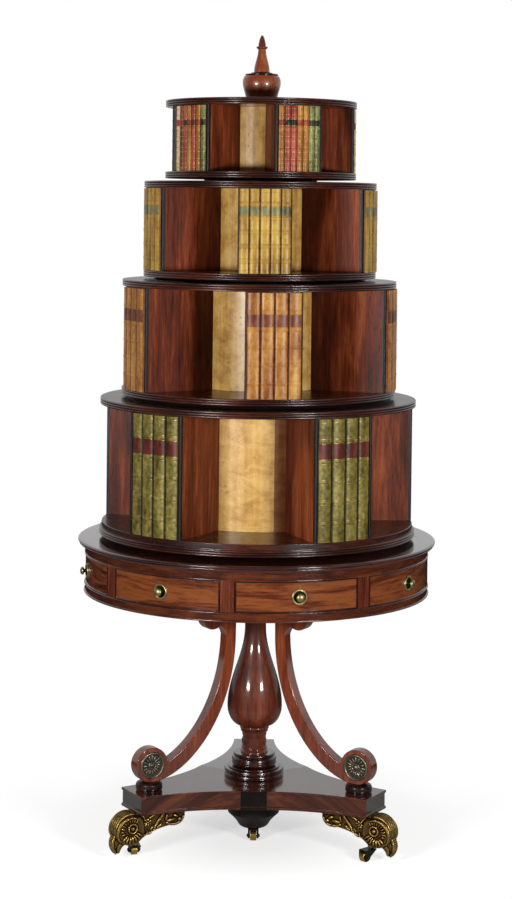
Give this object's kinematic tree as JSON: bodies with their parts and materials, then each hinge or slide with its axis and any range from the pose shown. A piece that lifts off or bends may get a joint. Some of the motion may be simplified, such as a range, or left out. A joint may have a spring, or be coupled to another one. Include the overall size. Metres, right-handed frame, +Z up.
{
  "type": "revolving bookcase",
  "caption": "Tall round bookcase with turning tiers of book compartments above a drum table with drawers, on a column, scroll legs and casters.",
  "frame": {"origin": "on the floor under the spindle", "axes": "+Z up, -Y the front, +X to the viewer's right"},
  "size_m": [0.8599, 0.86, 1.943],
  "materials": {
    "mahogany": "polished",
    "mahogany_dark": "polished",
    "mahogany_figured": "polished",
    "mahogany_light": "polished",
    "satinwood": "polished",
    "carcass_wood": "plain",
    "green_leather": "mottled",
    "tan_leather": "smooth",
    "pale_vellum": "smooth",
    "mixed_leather": "smooth",
    "brass": "polished",
    "brass_aged": "aged",
    "dark_iron": "japanned",
    "steel": "turned"
  },
  "bodies": {
    "stand": {"platform": "mahogany", "plinth": "mahogany_dark", "column": "mahogany", "pendant_boss": "mahogany_dark", "scroll_leg_1": "mahogany", "scroll_leg_2": "mahogany", "scroll_leg_3": "mahogany", "leg_buns": "mahogany_dark", "leg_rosettes": "brass", "brass_foot_1": "brass_aged", "brass_foot_2": "brass_aged", "brass_foot_3": "brass_aged", "top_block": "mahogany_dark", "table_floor": "carcass_wood", "lower_rail": "mahogany", "drawer_frame": "mahogany", "upper_rail": "mahogany", "table_top": "mahogany_dark", "blank_fronts": "mahogany_figured", "blank_pulls": "brass", "spindle": "steel", "bearing_discs": "mahogany_dark", "finial_urn": "mahogany_light", "finial_spire": "mahogany"},
    "tier_1": {"tier_1_base": "mahogany_dark", "tier_1_cap": "mahogany_dark", "tier_1_drum": "satinwood", "tier_1_panels": "mahogany", "tier_1_spines": "green_leather"},
    "tier_2": {"tier_2_base": "mahogany_dark", "tier_2_cap": "mahogany_dark", "tier_2_drum": "satinwood", "tier_2_panels": "mahogany", "tier_2_spines": "tan_leather"},
    "tier_3": {"tier_3_base": "mahogany_dark", "tier_3_cap": "mahogany_dark", "tier_3_drum": "satinwood", "tier_3_panels": "mahogany", "tier_3_spines": "pale_vellum"},
    "tier_4": {"tier_4_base": "mahogany_dark", "tier_4_cap": "mahogany_dark", "tier_4_drum": "satinwood", "tier_4_panels": "mahogany", "tier_4_spines": "mixed_leather"},
    "drawer_1": {"drawer_1": "mahogany_figured", "drawer_1_pull": "brass"},
    "drawer_2": {"drawer_2": "mahogany_figured", "drawer_2_pull": "brass"},
    "drawer_3": {"drawer_3": "mahogany_figured", "drawer_3_pull": "brass"},
    "drawer_4": {"drawer_4": "mahogany_figured", "drawer_4_pull": "brass"},
    "fork_1": {"caster_fork_1": "dark_iron"},
    "wheel_1": {"caster_wheel_1": "brass"},
    "fork_2": {"caster_fork_2": "dark_iron"},
    "wheel_2": {"caster_wheel_2": "brass"},
    "fork_3": {"caster_fork_3": "dark_iron"},
    "wheel_3": {"caster_wheel_3": "brass"},
    "fork_4": {"caster_fork_4": "dark_iron"},
    "wheel_4": {"caster_wheel_4": "brass"}
  },
  "joints": [
    {"name": "tier_1_turn", "type": "hinge", "parent": "stand", "child": "tier_1", "pos_m": [0, 0, 0.7745], "axis": [0, 0, 1], "continuous": true},
    {"name": "tier_2_turn", "type": "hinge", "parent": "stand", "child": "tier_2", "pos_m": [0, 0, 1.0955], "axis": [0, 0, 1], "continuous": true},
    {"name": "tier_3_turn", "type": "hinge", "parent": "stand", "child": "tier_3", "pos_m": [0, 0, 1.3775], "axis": [0, 0, 1], "continuous": true},
    {"name": "tier_4_turn", "type": "hinge", "parent": "stand", "child": "tier_4", "pos_m": [0, 0, 1.6125], "axis": [0, 0, 1], "continuous": true},
    {"name": "drawer_1_slide", "type": "slide", "parent": "stand", "child": "drawer_1", "axis": [0.2334, -0.9724, 0], "range_m": [0, 0.2]},
    {"name": "drawer_2_slide", "type": "slide", "parent": "stand", "child": "drawer_2", "axis": [0.9724, 0.2334, 0], "range_m": [0, 0.2]},
    {"name": "drawer_3_slide", "type": "slide", "parent": "stand", "child": "drawer_3", "axis": [-0.2334, 0.9724, 0], "range_m": [0, 0.2]},
    {"name": "drawer_4_slide", "type": "slide", "parent": "stand", "child": "drawer_4", "axis": [-0.9724, -0.2334, 0], "range_m": [0, 0.2]},
    {"name": "caster_1_swivel", "type": "hinge", "parent": "stand", "child": "fork_1", "pos_m": [0.27713, -0.16, 0.028], "axis": [0, 0, 1], "continuous": true},
    {"name": "caster_1_roll", "type": "hinge", "parent": "fork_1", "child": "wheel_1", "pos_m": [0.26152, -0.17405, 0.012], "axis": [0.6691, -0.7431, 0], "continuous": true},
    {"name": "caster_2_swivel", "type": "hinge", "parent": "stand", "child": "fork_2", "pos_m": [-0.27713, -0.16, 0.028], "axis": [0, 0, 1], "continuous": true},
    {"name": "caster_2_roll", "type": "hinge", "parent": "fork_2", "child": "wheel_2", "pos_m": [-0.28149, -0.13946, 0.012], "axis": [-0.9781, -0.2079, 0], "continuous": true},
    {"name": "caster_3_swivel", "type": "hinge", "parent": "stand", "child": "fork_3", "pos_m": [0, 0.32, 0.028], "axis": [0, 0, 1], "continuous": true},
    {"name": "caster_3_roll", "type": "hinge", "parent": "fork_3", "child": "wheel_3", "pos_m": [0.0105, 0.33819, 0.012], "axis": [-0.866, 0.5, 0], "continuous": true},
    {"name": "caster_4_swivel", "type": "hinge", "parent": "stand", "child": "fork_4", "pos_m": [0, 0, 0.028], "axis": [0, 0, 1], "continuous": true},
    {"name": "caster_4_roll", "type": "hinge", "parent": "fork_4", "child": "wheel_4", "pos_m": [0, -0.021, 0.012], "axis": [1, 0, 0], "continuous": true}
  ]
}
